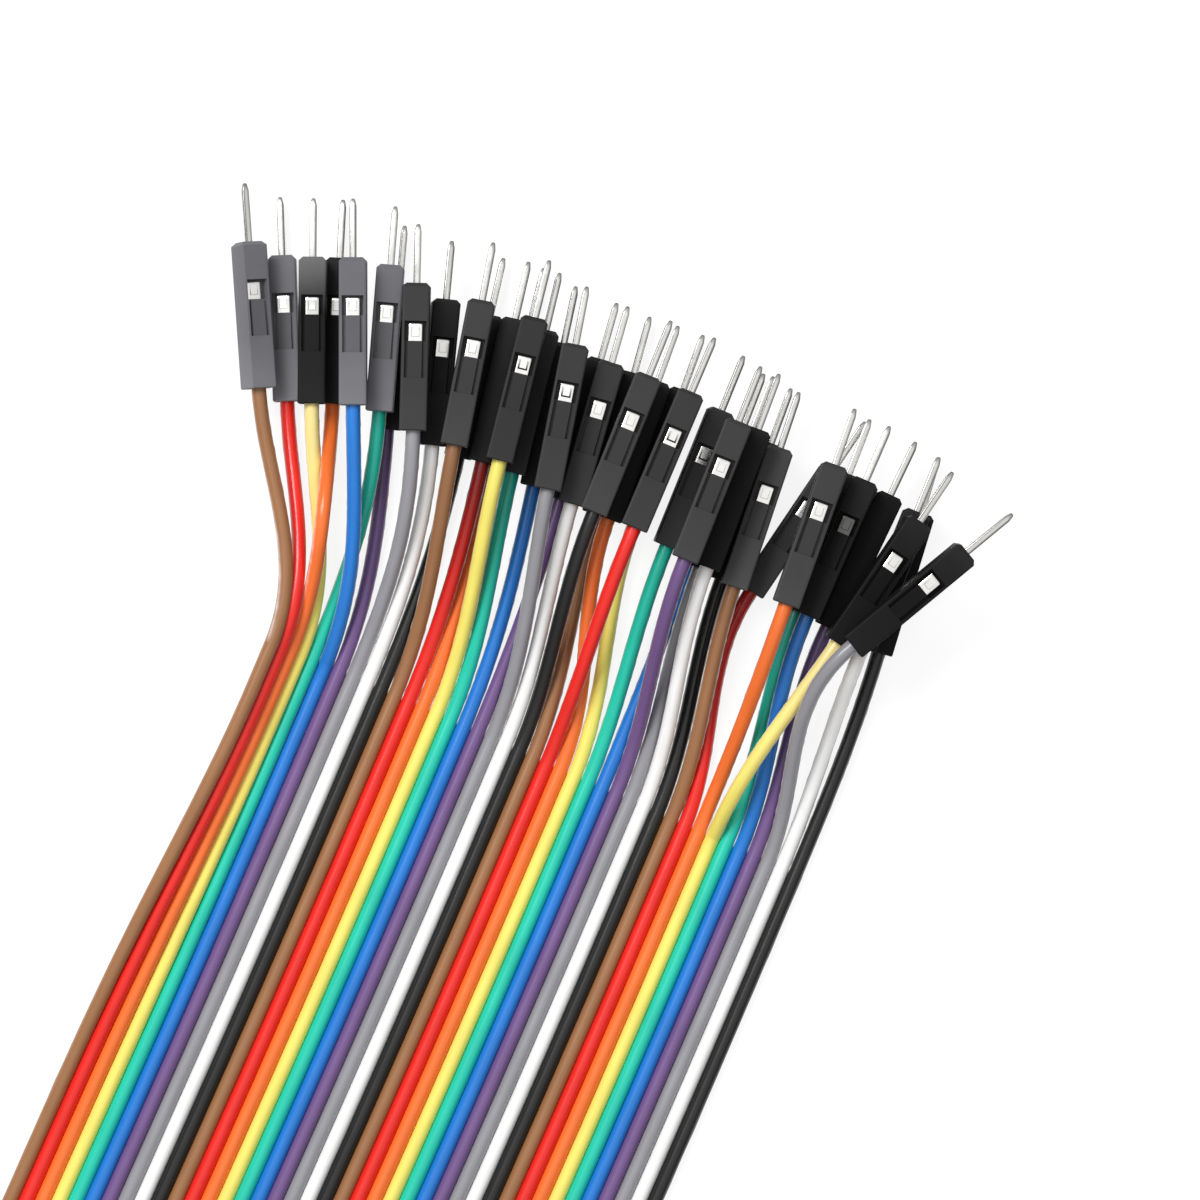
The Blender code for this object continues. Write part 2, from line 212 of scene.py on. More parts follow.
# Each row: way, place across in plug spacings from the ribbon's middle, rear end ahead of the mean in mm,
# lean to the right, level in the pile, roll about the pin
nearPlugs = [
    (1, -12.87, -1.0, -28.0, 1.16, 28), (2, -11.93, -1.0, -26.0, 0, 0), (3, -10.55, 0.5, -21.0, 0, 0),
    (4, -11.11, -0.3, -23.5, 1, 0), (5, -9.01, 1.6, -19.5, 1, 0), (6, -9.82, 1.1, -24.0, 2, 0),
    (7, -8.59, 0.4, -19.0, 0, 90), (8, -7.72, 1.2, -22.5, 2, 0), (9, -7.00, 0.7, -18.5, 1, 7),
    (10, -6.12, 0.7, -11.0, 0, 90), (11, -6.32, 1.5, -13.0, 2, 0), (12, -5.29, 1.2, -11.0, 1, -90),
    (13, -4.90, 1.3, -10.0, 0, -90), (14, -4.78, 1.9, -10.0, 2, 0), (15, -4.28, 1.4, -10.5, 1, 90),
    (16, -3.48, 1.1, -12.0, 0, 90), (17, -2.50, 1.0, -8.0, 0, -90), (18, -2.99, 1.3, -13.0, 2, 0),
    (19, -2.11, 1.0, -8.0, 1, 0), (20, -1.33, 1.1, -2.0, 2, 0), (21, -1.28, 1.1, -8.5, 0, 90),
    (22, 0.06, 1.3, -1.0, 2, 0), (23, -0.83, 1.1, -4.0, 1, -90), (24, 0.03, 1.4, -4.0, 0, 90),
    (25, 1.27, 1.0, -2.0, 1, 5), (26, 2.23, 0.4, -3.0, 0, 90), (27, 1.96, 0.5, -2.5, 3, 0),
    (28, 2.54, 0.4, -3.0, 1, -90), (29, 2.72, 0.7, -3.5, 2, 90), (30, 3.35, 0.2, -4.0, 0, 90),
    (31, 3.79, 0.1, -5.5, 1, 0), (32, 4.38, 0.4, 10.0, 0, 0), (33, 5.50, 0.5, -4.5, 3, 0),
    (34, 7.55, -0.8, 10.0, 2, 5), (35, 5.96, 0.4, -3.0, 1, 90), (36, 6.31, 0.4, -0.5, 2, -5),
    (37, 7.09, 0.2, 1.5, 1, 90), (38, 7.99, -0.5, 26.5, 3, 5), (39, 8.39, -0.2, -2.0, 1, -90),
    (40, 8.98, 0.0, -7.0, 0, 90),
]
# Split ends that pass over or under a neighbour: way, rise of the hump, its place along the split end
humps = {
    2: (0.8, 0.30), 3: (4.2, 0.57), 4: (-0.4, 0.65), 6: (1.3, 0.25), 18: (0.4, 0.30),
    22: (1.0, 0.35), 29: (0.3, 0.30), 31: (0.5, 0.30), 34: (2.8, 0.30), 36: (0.3, 0.30), 38: (0.3, 0.30),
}
placeOf = {row[0]: row[1:] for row in nearPlugs}
farSplit = -ribbon["bonded"]
farRear = farSplit - ribbon["farFree"]
stackWays, stackCount = 4, 10
stackSpacing = 2 * plugSize["spacing"]

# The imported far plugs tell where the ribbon's own frame lies: its middle, and its near split at y = 0
firstStack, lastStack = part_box("far_plugs_01"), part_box("far_plugs_10")
origin = np.array([(firstStack[0].x + lastStack[1].x) / 2, firstStack[1].y - farRear * mm, 0.0])
aim = origin + np.array([0.0, camera["ahead"] * mm, 0.0])
placeCamera(aim)
print("camera placed")


def turned(lean, roll):
    # Columns are where a plug's own right, pin and window directions point after a roll, then a lean
    a, b = math.radians(-lean), math.radians(roll)
    aboutZ = np.array([[math.cos(a), -math.sin(a), 0], [math.sin(a), math.cos(a), 0], [0, 0, 1]])
    aboutY = np.array([[math.cos(b), 0, math.sin(b)], [0, 1, 0], [-math.sin(b), 0, math.cos(b)]])
    return aboutZ @ aboutY


def nearPlace(way):
    across, ahead, lean, level, roll = placeOf[way]
    rear = np.array([across * plugSize["spacing"], ribbon["nearFree"] + ahead,
                     plugSize["width"] / 2 + level * plugSize["spacing"]])
    return rear, turned(lean, roll)


def farPlace(way):
    # Far plugs stand two wide and two high with their pins towards -Y, the lower ones face down
    stack, seat = divmod(way - 1, stackWays)
    column, row = divmod(seat, 2)
    rear = np.array([(stack - (stackCount - 1) / 2) * stackSpacing + (column - 0.5) * plugSize["width"],
                     farRear, (row + 0.5) * plugSize["width"]])
    faceDown = row == 0
    side = np.array([1.0 if faceDown else -1.0, 0, 0])
    return rear, np.stack([side, np.array([0, -1.0, 0]), np.array([0, 0, -1.0 if faceDown else 1.0])], axis=1)


def section(along):
    # Centre, height and tilt of every way at these places along the ribbon. From the middle to the left edge
    # each bond bends by its own angle, and that adds up to the curl.
    ways = ribbon["ways"]
    links = np.arange(1, ways)
    fade = smoothStep((along - ribbon["curlFrom"]) / (ribbon["curlFull"] - ribbon["curlFrom"]))[:, None]
    easing = smoothStep((ribbon["curlLinks"] - links) / ribbon["curlEasing"])
    bend = math.radians(ribbon["curlAngle"]) * fade * easing
    stepAcross = np.cumsum((ribbon["pitch"] * np.cos(bend))[:, ::-1], axis=1)[:, ::-1]
    stepUp = np.cumsum((ribbon["pitch"] * np.sin(bend))[:, ::-1], axis=1)[:, ::-1]
    right = (ways - 1) / 2 * ribbon["pitch"]
    none = np.zeros((len(along), 1))
    across = right - np.concatenate([stepAcross, none], axis=1)
    height = ribbon["rest"] + np.concatenate([stepUp, none], axis=1)
    drift = ribbon["sway"] * np.clip((along - ribbon["swayFrom"]) / -ribbon["swayFrom"], 0, None) ** 2
    tilt = (np.concatenate([bend, none], axis=1) + np.concatenate([none, bend], axis=1)) / 2
    tilt[:, 0] = bend[:, 0]
    return across - drift[:, None], height, tilt


def bezier(start, leave, arrive, end, share):
    # Cubic: each point is the four controls weighted by the powers of share and of the rest
    share = share[:, None]
    rest = 1 - share
    return (rest ** 3 * start + 3 * rest ** 2 * share * leave
            + 3 * rest * share ** 2 * arrive + share ** 3 * end)


def routes():
    # Every wire's centres from the far pocket to the near one, with each centre's up direction and how far
    # it is bonded to its neighbours
    straight = np.concatenate([np.linspace(farSplit, ribbon["curlFrom"], ribbon["flatStations"])[:-1],
                               np.linspace(ribbon["curlFrom"], 0.0, ribbon["curlStations"])])
    across, height, tilt = section(straight)
    nearShare = np.linspace(0, 1, ribbon["nearStations"])[1:]
    farShare = np.linspace(0, 1, ribbon["farStations"])[1:]
    slope = -2 * ribbon["sway"] / -ribbon["swayFrom"]
    found = []
    for way in range(1, ribbon["ways"] + 1):
        lane = way - 1
        bonded = np.stack([across[:, lane], straight, height[:, lane]], axis=1)
        ups = np.stack([np.sin(tilt[:, lane]), 0 * straight, np.cos(tilt[:, lane])], axis=1)
        rear, turn = nearPlace(way)
        ahead, leaving = turn[:, 1], unit(np.array([slope, 1.0, 0.0]))
        reach = np.linalg.norm(rear - bonded[-1]) * ribbon["nearStiffness"]
        near = bezier(bonded[-1], bonded[-1] + leaving * reach, rear - ahead * reach, rear, nearShare)
        if way in humps:
            rise, peak = humps[way]
            near[:, 2] += rise * np.sin(math.pi * nearShare ** (math.log(0.5) / math.log(peak))) ** 2
        farRearPlace, _ = farPlace(way)
        back = np.array([0.0, -1.0, 0.0])
        reach = np.linalg.norm(farRearPlace - bonded[0]) * ribbon["farStiffness"]
        far = bezier(bonded[0], bonded[0] + back * reach, farRearPlace - back * reach, farRearPlace, farShare)
        farSeat = farRearPlace + back * np.array([[ribbon["seat"]], [ribbon["seat"] / 2]])
        nearSeat = rear + ahead * np.array([[ribbon["seat"] / 2], [ribbon["seat"]]])
        line = np.concatenate([farSeat, far[::-1], bonded, near, nearSeat])
        righted = np.array([0.0, 0.0, 1.0])
        blend = np.concatenate([nearShare, [1, 1]])[:, None]
        upNear = ups[-1] * (1 - blend) + righted * blend
        upFar = np.repeat(ups[:1], len(farSeat) + len(far), axis=0)
        up = np.concatenate([upFar, ups, upNear])
        held = np.concatenate([np.zeros(len(farSeat) + len(far)), np.ones(len(bonded)),
                               np.zeros(len(near) + len(nearSeat))])
        found.append((line * mm + origin, up, held, rear * mm + origin))
    return found


def wireSurface(line, up, held, way):
    # A circle carried along the route. Its sides are drawn out into the bond where the wire is held, and
    # into an uneven torn edge where it isn't: the draw fades with height as a bell curve.
    stations, sides = len(line), ribbon["sides"]
    tangent = unit(np.gradient(line, axis=0))
    side = unit(np.cross(tangent, up))
    level = np.cross(side, tangent)
    angle = 2 * math.pi * np.arange(sides) / sides - math.pi / 2
    lateral, vertical = ribbon["radius"] * np.cos(angle), ribbon["radius"] * np.sin(angle)
    tearing = np.random.default_rng(way)
    ragged = tearing.random((stations, 2)) * tearing.random((stations, 2))
    ragged = np.where(np.cos(angle)[None, :] < 0, ragged[:, :1], ragged[:, 1:])
    torn = ribbon["tornReach"] * ragged * np.exp(-(vertical / ribbon["tornHalf"]) ** 2)
    bond = (ribbon["webReach"] - ribbon["radius"]) * np.exp(-(vertical / ribbon["webHalf"]) ** 2)
    edge = (way == 1) * (np.cos(angle) < 0) | (way == ribbon["ways"]) * (np.cos(angle) > 0)
    draw = np.where(edge[None, :], torn, held[:, None] * bond + (1 - held[:, None]) * torn)
    lateral = lateral + np.sign(np.cos(angle)) * draw
    faint = ribbon["tearFaint"] + (1 - ribbon["tearFaint"]) * ragged ** 0.5
    tearMark = np.exp(-(vertical / ribbon["tearMarkHalf"]) ** 2) * (1 - held[:, None]) * faint
    outward = lateral[..., None] * side[:, None] + vertical[None, :, None] * level[:, None]
    return line[:, None] + mm * outward, tearMark


# Painted shade: how much darker each way's insulation gets towards its near plug, where the pile above shades
# it
nearShade = [
    0.05, 0.00, 0.10, 0.00, 0.35, 0.00, 0.45, 0.00, 0.00, 0.20,
    0.20, 0.85, 0.25, 0.05, 0.50, 0.50, 0.45, 0.10, 0.00, 0.10,
    0.60, 0.00, 0.15, 0.15, 0.30, 0.50, 0.15, 0.80, 0.00, 0.30,
    0.10, 0.45, 0.05, 0.00, 0.75, 0.40, 0.50, 0.10, 0.00, 0.20]
goldenWays = (4, 34)
colourNames = ["brown", "red", "orange", "yellow", "green", "blue", "purple", "grey", "white", "black"]
wireRoutes = routes()


def makeWires(finishes):
    for index, (line, up, held, rear) in enumerate(wireRoutes):
        way = index + 1
        colour = colourNames[index % len(colourNames)]
        steps = np.linalg.norm(np.diff(line, axis=0), axis=1)
        along = np.concatenate([[0], np.cumsum(steps)])
        around = np.linspace(0, 1, ribbon["sides"] + 1)
        surface, tearMark = wireSurface(line, up, held, way)
        toPlug = 1 - smoothStep((along[-1] - along) / mm / ribbon["shadeReach"])
        toPlug = np.tile(toPlug[:, None], (1, ribbon["sides"]))
        marks = {"tear": [tearMark], "golden": [toPlug * (way in goldenWays)],
                 "shaded": [toPlug * nearShade[index]]}
        wire = gridMesh(f"wire_{way:02d}", [surface], finishes[colour],
                        wrap=(around, along / mm / ribbon["wrapLength"]), marks=marks)
        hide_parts("ribbon")


insulation = {
    "hues": {
        "brown": hue(161, 112, 74), "red": hue(241, 41, 33), "orange": hue(252, 120, 50),
        "yellow": hue(252, 237, 114), "green": hue(28, 204, 177), "blue": hue(34, 124, 214),
        "purple": hue(118, 88, 142), "grey": hue(153, 152, 157), "white": hue(253, 253, 252),
        "black": hue(28, 29, 28),
    },
    "streaks": (3.0, 3.0), "patches": (1.2, 2.0),
    "streakFine": (14.0, 0.7, 1.0), "patchFine": (1.5, 1.0, 1.0),   # how fine, round a wire and along it
    "uneven": 0.30, "evenFrom": 0.20,           # how far streaks and patches darken it, and what they spare
    "golden": hue(238, 212, 165), "goldenShare": 0.6, "torn": hue(252, 244, 240), "tornShare": 0.75,
    "roughness": 0.26, "roughnessSpread": 0.16, "gloss": 0.45, "streakStrength": 0.2, "streakDepth": 0.00005,
}
noColour = (0.0, 0.0, 0.0, 1.0)


def insulationFinish(name, colour):
    look = insulation
    made = newFinish("insulation_" + name)
    wrap = made.add("ShaderNodeUVMap", {"uv_map": "wrap"})
    drawn = made.add("ShaderNodeMapping", {}, {"Vector": wrap, "Scale": look["streakFine"]})
    broad = made.add("ShaderNodeMapping", {}, {"Vector": wrap, "Scale": look["patchFine"]})
    streaks = made.noise(drawn, look["streaks"])
    patches = made.noise(broad, look["patches"])
    darker = look["uneven"] * streaks + look["uneven"] * patches - look["evenFrom"]
    shade = made.mixColour(darker, colour, noColour)
    warm = made.mixColour(look["goldenShare"] * made.mark("golden"), shade, look["golden"])
    # painted shade: the insulation darkens towards its near plug by the shaded mark
    dark = made.mixColour(made.mark("shaded"), warm, noColour)
    pale = made.mixColour(look["tornShare"] * made.mark("tear"), dark, look["torn"])
    bump = made.add("ShaderNodeBump", {}, {
        "Strength": look["streakStrength"], "Distance": look["streakDepth"], "Height": streaks})
    roughness = look["roughnessSpread"] * streaks + (look["roughness"] - look["roughnessSpread"] / 2)
    shader = made.add("ShaderNodeBsdfPrincipled", {}, {
        "Base Color": pale, "Roughness": roughness, "Normal": bump, "Specular IOR Level": look["gloss"]})
    return made.close(shader)


makeWires({name: insulationFinish(name, colour) for name, colour in insulation["hues"].items()})
print("forty wires made")


# The plugs. In a plug's own axes x is to its right, y along its pin from the housing's rear end, and z
# towards its window.
housing = {
    "half": 1.27, "corner": 0.13, "cornerCuts": 3, "length": 13.5, "noseChamfer": 0.35, "rearChamfer": 0.09,
    "pocketHalf": 0.97, "pocketDepth": 3.6, "rimChamfer": 0.07, "holeHalf": 0.38, "holeDepth": 1.0,
    "windowFrom": 8.2, "windowTo": 10.0, "windowHalf": 1.0, "windowDepth": 0.92,
    "slotFrom": 4.8, "slotInner": 0.65, "slotOuter": 0.95, "slotDepth": 0.5,
    "tongueRoot": 0.10, "tongueDip": 0.22,      # how deep the tongue lies at its root and at its free end
    "wall": 0.02,                               # a steep wall's run
    "wireEndLight": 1.32, "tongueShade": 0.72,    # painted light on the wire end, painted shade on the recessed tongue: lighter or darker than the nose
    "litNose": 1.3, "mostLit": {4: 14.0},       # painted light: how much lighter the noses of the shaded black housings get
    "litFrom": 8.5, "litOver": 4.0,             # where that starts, and over what length it grows
    "tongueLine": 0.3, "tongueRows": 5,         # where the tongue's bend is carried
}
terminal = {
    "boxHalf": 0.66, "boxFrom": 8.0, "boxTo": 9.8, "boxLow": 0.25, "boxHigh": 1.03, "boxCorner": 0.10,
    "lanceHalf": 0.30, "lanceFrom": 8.55, "lanceTo": 9.45, "lanceDepth": 0.25, "lanceRise": 0.08,
    # each lance's tone is the painted shade in the sunken gap round it
    "shutLance": {"gap": 0.07, "tone": 0.8}, "openLance": {"gap": 0.15, "tone": 0.04},
    "openWays": (14, 18, 22, 25),               # whose lance stands open, with a wider gap round it in deep painted shade
    "wallShare": 0.2, "cornerCuts": 3,          # how much of the gap round a lance its steep walls take
    "pinHalf": 0.32, "pinCorner": 0.12, "pinCuts": 4, "pinFrom": 12.4, "pinTo": 18.9,
    "taper": 0.7, "tipHalf": 0.17, "tipShare": 0.15, "tipSwell": 1.15, "tipEnd": 0.75,
    "edgeFade": 0.14, "edgeReflectionTone": (0.15, 0.60),     # painted dark reflection on the rounded corners, not on the flat faces
    # the flat faces keep the plating's own tone, the tip gets a painted dark reflection
    "flatTone": 0.82, "tipReflectionTone": 0.50,
    "loose": {1: (-12.0, 0.14)},                # how far a terminal stands turned and sunk in its housing
    "paintedDark": {3: 0.75, 4: 0.80, 9: 0.85, 36: 0.12},      # painted shade: how bright the boxes in the shade still are
}
charcoalWays = (1, 2, 5, 6)
litBlackWays = (8, 11, 14, 18, 19, 20, 22, 25, 27, 31, 32, 33)     # these take the black with painted light, the others its darker copy with painted shade
# Painted light and shade: how light each near housing is beside the others of its kind
housingLightAndShade = [
    1.15, 1.20, 1.40, 1.60, 1.05, 1.00, 1.00, 0.82, 1.10, 1.00,
    1.00, 1.60, 1.00, 0.40, 2.20, 1.50, 1.00, 0.80, 0.70, 1.05,
    1.00, 0.75, 1.00, 1.00, 0.60, 1.00, 1.05, 0.70, 0.70, 1.00,
    1.70, 0.90, 1.20, 1.10, 0.80, 0.90, 0.40, 1.40, 1.20, 1.00]


def roundedRing(halfWide, low, high, corner, cuts, topLines=()):
    # Points round a rectangle in x and z with arcs for corners, and extra points along its top
    turn = np.radians(np.linspace(0, 90, cuts + 1))
    arc = corner * np.stack([np.cos(turn), np.sin(turn)], axis=1)
    right, left = halfWide - corner, corner - halfWide
    lower, upper = low + corner, high - corner
    top = np.array([[x, high] for x in sorted(topLines, reverse=True)]).reshape(-1, 2)
    return np.concatenate([
        np.array([right, lower]) + arc[::-1] * [1, -1], np.array([right, upper]) + arc, top,
        np.array([left, upper]) + arc[::-1] * [-1, 1], np.array([left, lower]) - arc])


def bothSides(values):
    return sorted({sign * value for value in values for sign in (-1, 1)})


def housingSurface():
    # The ring is carried from the pocket's floor out over the rim, along the outside to the nose and into
    # the pin's hole. On the way the top's points sink by the depth of the slot, tongue or window they are in.
    h = housing
    wall = h["wall"]
    lines = bothSides([0.0, h["tongueLine"], h["slotInner"], h["slotInner"] + wall, h["slotOuter"] - wall,
                       h["slotOuter"], h["windowHalf"] - wall, h["windowHalf"]])
    ring = roundedRing(h["half"], -h["half"], h["half"], h["corner"], h["cornerCuts"], lines)
    x, onTop = ring[:, 0], np.isclose(ring[:, 1], h["half"])
    rings = [
        (h["pocketDepth"], h["pocketHalf"]), (h["rimChamfer"], h["pocketHalf"]),
        (0.0, h["pocketHalf"] + h["rimChamfer"]), (0.0, h["half"] - h["rearChamfer"])]
    outside = [h["rearChamfer"], h["slotFrom"], h["slotFrom"] + wall]
    outside += np.linspace(h["slotFrom"] + wall, h["windowFrom"] - wall, h["tongueRows"] + 1)[1:].tolist()
    outside += [h["windowFrom"], h["windowTo"] - wall, h["windowTo"], h["length"] - h["noseChamfer"]]
    rings += [(y, h["half"]) for y in outside]
    rings += [(h["length"], h["half"] - h["noseChamfer"]), (h["length"], h["holeHalf"]),
              (h["length"] - h["holeDepth"], h["holeHalf"])]
    surface, tones = [], []
    for y, half in rings:
        scaled = ring * half / h["half"]
        # painted light on the wire end's points, and painted shade on the tongue's top below
        sink, tone = np.zeros(len(x)), np.full(len(x), h["wireEndLight"] if y < h["slotFrom"] else 1.0)
        if half == h["half"]:
            share = (y - h["slotFrom"]) / (h["windowFrom"] - h["slotFrom"])
            inSlot = (abs(x) > h["slotInner"]) & (abs(x) < h["slotOuter"]) & (0 < share < 1)
            onTongue = (abs(x) <= h["slotInner"]) & (0 < share < 1)
            inWindow = (abs(x) < h["windowHalf"]) & (h["windowFrom"] <= y < h["windowTo"])
            dip = h["tongueRoot"] + (h["tongueDip"] - h["tongueRoot"]) * share
            sink = np.select([inSlot, onTongue, inWindow], [h["slotDepth"], dip, h["windowDepth"]])
            tone = np.where(onTongue & onTop, h["tongueShade"], tone)
        surface.append(np.stack([scaled[:, 0], np.full(len(x), y), scaled[:, 1] - sink * onTop], axis=1))
        tones.append(tone)
    return np.array(surface), np.array(tones)


def terminalBox(lance):
    # The box that fills the window, with a lance cut free on three sides in its top
    t, gap = terminal, lance["gap"]
    cut = [0.0, gap * t["wallShare"], gap * (1 - t["wallShare"]), gap]
    lines = bothSides([0.0] + [t["lanceHalf"] + reach for reach in cut])
    ring = roundedRing(t["boxHalf"], t["boxLow"], t["boxHigh"], t["boxCorner"], t["cornerCuts"], lines)
    x, onTop = ring[:, 0], np.isclose(ring[:, 1], t["boxHigh"])
    stops = [t["boxFrom"]] + [t["lanceFrom"] + reach for reach in cut]
    stops += [t["lanceTo"], t["boxTo"] - t["boxCorner"], t["boxTo"]]
    box, tones = [], []
    for y in stops:
        share = (t["lanceTo"] - y) / (t["lanceTo"] - t["lanceFrom"])
        within = abs(x) < t["lanceHalf"] + gap
        beside = (abs(x) > t["lanceHalf"]) & within & (t["lanceFrom"] < y < t["lanceTo"])
        before = within & (t["lanceFrom"] < y < t["lanceFrom"] + gap)
        onLance = (abs(x) <= t["lanceHalf"]) & (t["lanceFrom"] + gap <= y < t["lanceTo"])
        lift = np.select([beside | before, onLance], [-t["lanceDepth"], t["lanceRise"] * share])
        box.append(np.stack([x, np.full(len(x), y), ring[:, 1] + lift * onTop], axis=1))
        # painted shade in the sunken gap round the lance
        tones.append(np.where(lift * onTop < 0, lance["tone"], 1.0))
    box = np.array(box)
    middle = np.array([0, (t["boxLow"] + t["boxHigh"]) / 2])
    box[-1][:, [0, 2]] = middle + (box[-1][:, [0, 2]] - middle) * (1 - t["boxCorner"] / t["boxHalf"])
    return box, np.array(tones)


def pinSurface():
    # One corner of the pin's square, turned four times, is carried to the tapered tip
    t = terminal
    turn = np.radians(np.linspace(0, 90, t["pinCuts"] + 1))
    flat = t["pinHalf"] - t["pinCorner"]
    arc = flat + t["pinCorner"] * np.stack([np.cos(turn), np.sin(turn)], axis=1)
    inner = flat - t["edgeFade"]
    corner = np.concatenate([[[t["pinHalf"], inner]], arc, [[inner, t["pinHalf"]]]])
    quarters = ((0, -1), (1, 0), (0, 1), (-1, 0))
    square = np.concatenate([corner @ np.array([[c, s], [-s, c]]) for c, s in quarters])
    tip = t["tipHalf"] / t["pinHalf"]
    stops = ((t["pinFrom"], 1.0), (t["pinTo"] - t["taper"], 1.0),
             (t["pinTo"] - t["taper"] * t["tipShare"], tip * t["tipSwell"]), (t["pinTo"], tip * t["tipEnd"]))
    pin = np.array([np.stack([square[:, 0] * share, np.full(len(square), y), square[:, 1] * share], axis=1)
                    for y, share in stops])
    onEdge = np.tile(np.array([0.0] + [1.0] * len(arc) + [0.0]), (len(stops), 4))
    return pin, onEdge


def pinTones(onEdge, way):
    # Each of the pin's four corners gets its own painted dark reflection, and the tip's two rings carry one
    # all round
    low, high = terminal["edgeReflectionTone"]
    paintedDark = np.repeat(np.random.default_rng(way).uniform(low, high, 4), onEdge.shape[1] // 4)
    tones = terminal["flatTone"] + onEdge * (paintedDark - terminal["flatTone"])
    tones[2:] = terminal["tipReflectionTone"]
    return tones


def placed(surface, rear, turn):
    return (surface @ turn.T + rear) * mm + origin


def makePlugs(shellFinishes, pinFinish):
    shell, shellTones = housingSurface()
    pin, onEdge = pinSurface()
    noseShare = smoothStep((shell[:, :, 1] - housing["litFrom"]) / housing["litOver"])

    def makeGroup(suffix, node, look, seats):
        # Each seat: the way, its rear and turn, its housing's painted light and shade, its terminal's turn
        # and sink, its box's painted shade and its lance
        shells, shellMarks, metals, metalMarks = [], [], [], []
        for way, (rear, turn), tone, (loose, sunk), paintedDark, lance in seats:
            inside = turn @ turned(0, loose)
            box, boxTones = terminalBox(terminal[lance])
            shells.append(placed(shell, rear, turn))
            # painted light brightens the noses of the shaded black housings
            lit = housing["mostLit"].get(way, housing["litNose"]) if look == "housing_black_shaded" else 0
            shellMarks.append(shellTones * tone * (1 + lit * noseShare))
            metals += [placed(box, rear - sunk * turn[:, 2], inside), placed(pin, rear, inside)]
            metalMarks += [boxTones * paintedDark, pinTones(onEdge, way)]
        body = gridMesh("housing" + suffix, shells, shellFinishes[look],
                        marks={"tone": shellMarks}, sharpAngle=plugSize["sharp"])
        pins = gridMesh("terminal" + suffix, metals, pinFinish,
                        marks={"tone": metalMarks}, sharpAngle=plugSize["sharp"])
        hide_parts(node)
        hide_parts(node)

    for way in range(1, ribbon["ways"] + 1):
        look = ("housing_charcoal" if way in charcoalWays else
                "housing_black" if way in litBlackWays else "housing_black_shaded")
        lance = "openLance" if way in terminal["openWays"] else "shutLance"
        loose, paintedDark = terminal["loose"].get(way, (0, 0)), terminal["paintedDark"].get(way, 1)
        seat = (way, nearPlace(way), housingLightAndShade[way - 1], loose, paintedDark, lance)
        makeGroup(f"_{way:02d}", f"plug_{way:02d}", look, [seat])
    for stack in range(stackCount):
        ways = range(stack * stackWays + 1, (stack + 1) * stackWays + 1)
        makeGroup(f"s_far_{stack + 1:02d}", f"far_plugs_{stack + 1:02d}", "housing_black",
                  [(way, farPlace(way), 1, (0, 0), 1, "shutLance") for way in ways])


# housing_black and housing_black_shaded are lit and shaded copies of one black: painted light and painted
# shade
plastic = {
    "housing_black": {"colour": hue(36, 36, 37), "lighter": hue(48, 48, 48), "gloss": 0.30},
    "housing_black_shaded": {"colour": hue(13, 13, 13), "lighter": hue(20, 20, 20), "gloss": 0.10},
    "housing_charcoal": {"colour": hue(90, 90, 95), "lighter": hue(101, 101, 105), "gloss": 0.30},
    "roughness": 0.50, "roughnessSpread": 0.16,
    "clouds": (350.0, 3.0), "grain": (9000.0, 2.0), "grainStrength": 0.35, "grainDepth": 0.00001,
}
plating = {
    "shade": hue(232, 231, 228), "lighter": hue(250, 249, 246), "roughness": 0.16, "roughnessSpread": 0.12,
    "clouds": (900.0, 2.0), "lines": (9000.0, 2.0), "lineLength": (1.0, 0.08, 1.0),
    "lineStrength": 0.12, "lineDepth": 0.00001,
}


def toned(made, colour):
    # The colour times the number that the mesh carries for each of its points, which holds painted light,
    # shade and dark reflections beside the pins' own tone
    tone = made.mark("tone")
    return made.add("ShaderNodeVectorMath", {"operation": "SCALE"}, {0: colour, "Scale": tone})


def plasticFinish(name):
    look = plastic[name]
    made = newFinish(name)
    place = made.add("ShaderNodeTexCoord", output=3)
    clouds = made.noise(place, plastic["clouds"])
    grain = made.noise(place, plastic["grain"])
    shade = toned(made, made.mixColour(clouds, look["colour"], look["lighter"]))
    bump = made.add("ShaderNodeBump", {}, {
        "Strength": plastic["grainStrength"], "Distance": plastic["grainDepth"], "Height": grain})
    roughness = plastic["roughnessSpread"] * clouds + (plastic["roughness"] - plastic["roughnessSpread"] / 2)
    shader = made.add("ShaderNodeBsdfPrincipled", {}, {
        "Base Color": shade, "Roughness": roughness, "Normal": bump, "Specular IOR Level": look["gloss"]})
    return made.close(shader)


def metalFinish():
    # Bright plating over stamped strip: fine lines along the strip and a little unevenness in the gloss
    made = newFinish("plated_pin")
    place = made.add("ShaderNodeTexCoord", output=3)
    strip = made.add("ShaderNodeMapping", {}, {"Vector": place, "Scale": plating["lineLength"]})
    lines = made.noise(strip, plating["lines"])
    clouds = made.noise(place, plating["clouds"])
    shade = toned(made, made.mixColour(clouds, plating["shade"], plating["lighter"]))
    bump = made.add("ShaderNodeBump", {}, {
        "Strength": plating["lineStrength"], "Distance": plating["lineDepth"], "Height": lines})
    roughness = plating["roughnessSpread"] * clouds + plating["roughness"]
    shader = made.add("ShaderNodeBsdfPrincipled", {}, {
        "Base Color": shade, "Metallic": 1.0, "Roughness": roughness, "Normal": bump})
    return made.close(shader)


plasticNames = ("housing_black", "housing_black_shaded", "housing_charcoal")
makePlugs({name: plasticFinish(name) for name in plasticNames}, metalFinish())
print("plugs made")


# Studio: a pale floor that keeps a soft shadow, a world that is bright overhead, one soft key from the left
studio = {
    "floorHalf": 1.2, "floorPaint": 0.9, "floorGlow": 1.08, "shadowKept": 0.2,
    "keyPower": 3.8, "keySize": 0.30, "keyAway": 0.7, "keyHeading": 155.0, "keyHigh": 55.0,
    "horizon": 0.12, "zenith": 1.0, "skyPower": 1.6,
}


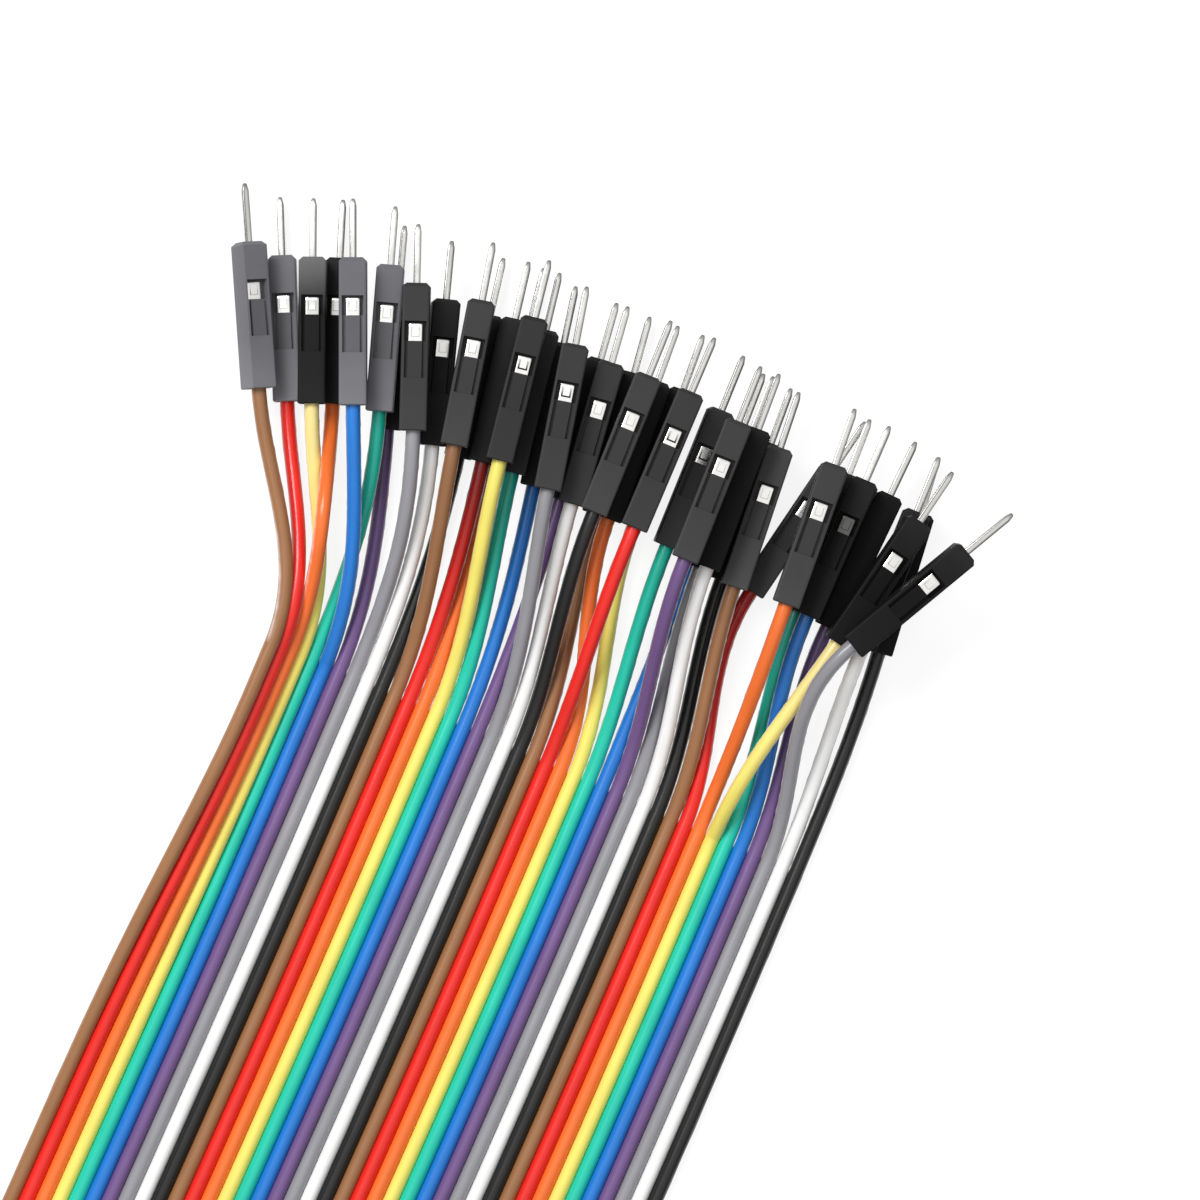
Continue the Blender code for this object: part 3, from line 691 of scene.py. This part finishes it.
def makeFloor():
    made = newFinish("floor")
    rays = made.add("ShaderNodeLightPath")
    seen = Flow(made, rays.socket.node.outputs["Is Camera Ray"])
    glossy = Flow(made, rays.socket.node.outputs["Is Glossy Ray"])
    through = Flow(made, rays.socket.node.outputs["Is Transmission Ray"])
    direct = seen.calc("MAXIMUM", seen.calc("MAXIMUM", seen, glossy), through)
    paint = made.add("ShaderNodeBsdfDiffuse", {}, {"Color": (*[studio["floorPaint"]] * 3, 1)})
    glow = made.add("ShaderNodeEmission", {}, {"Color": (1, 1, 1, 1), "Strength": studio["floorGlow"]})
    shader = made.add("ShaderNodeMixShader", {}, {0: direct * (1 - studio["shadowKept"]), 1: paint, 2: glow})
    finish = made.close(shader)
    half = studio["floorHalf"]
    mesh = bpy.data.meshes.new("floor")
    corners = [(-half, -half, 0), (half, -half, 0), (half, half, 0), (-half, half, 0)]
    mesh.from_pydata(corners, [], [(0, 1, 2, 3)])
    mesh.materials.append(finish)
    floor = bpy.data.objects.new("floor", mesh)
    bpy.context.scene.collection.objects.link(floor)


def makeLight():
    world = bpy.data.worlds.new("studio")
    bpy.context.scene.world = world
    made = Finish(world)
    direction = made.add("ShaderNodeTexCoord")
    parts = made.add("ShaderNodeSeparateXYZ", {}, {0: direction}, 2)
    high = parts.calc("MAXIMUM", parts, 0.0)
    level = studio["horizon"] + (studio["zenith"] - studio["horizon"]) * high ** studio["skyPower"]
    back = made.add("ShaderNodeBackground", {}, {"Color": (1, 1, 1, 1), "Strength": level})
    made.close(back, "ShaderNodeOutputWorld")
    lamp = bpy.data.lights.new("key", "AREA")
    lamp.energy, lamp.size = studio["keyPower"], studio["keySize"]
    key = bpy.data.objects.new("key", lamp)
    heading, high = math.radians(studio["keyHeading"]), math.radians(studio["keyHigh"])
    away = studio["keyAway"]
    toLamp = np.array([math.cos(heading) * math.cos(high), math.sin(heading) * math.cos(high),
                       math.sin(high)])
    key.location = (aim + away * toLamp).tolist()
    key.rotation_euler = (math.pi / 2 - high, 0, heading + math.pi / 2)
    bpy.context.scene.collection.objects.link(key)


makeFloor()
makeLight()
bpy.context.scene.view_settings.view_transform = "Standard"
print("studio made")
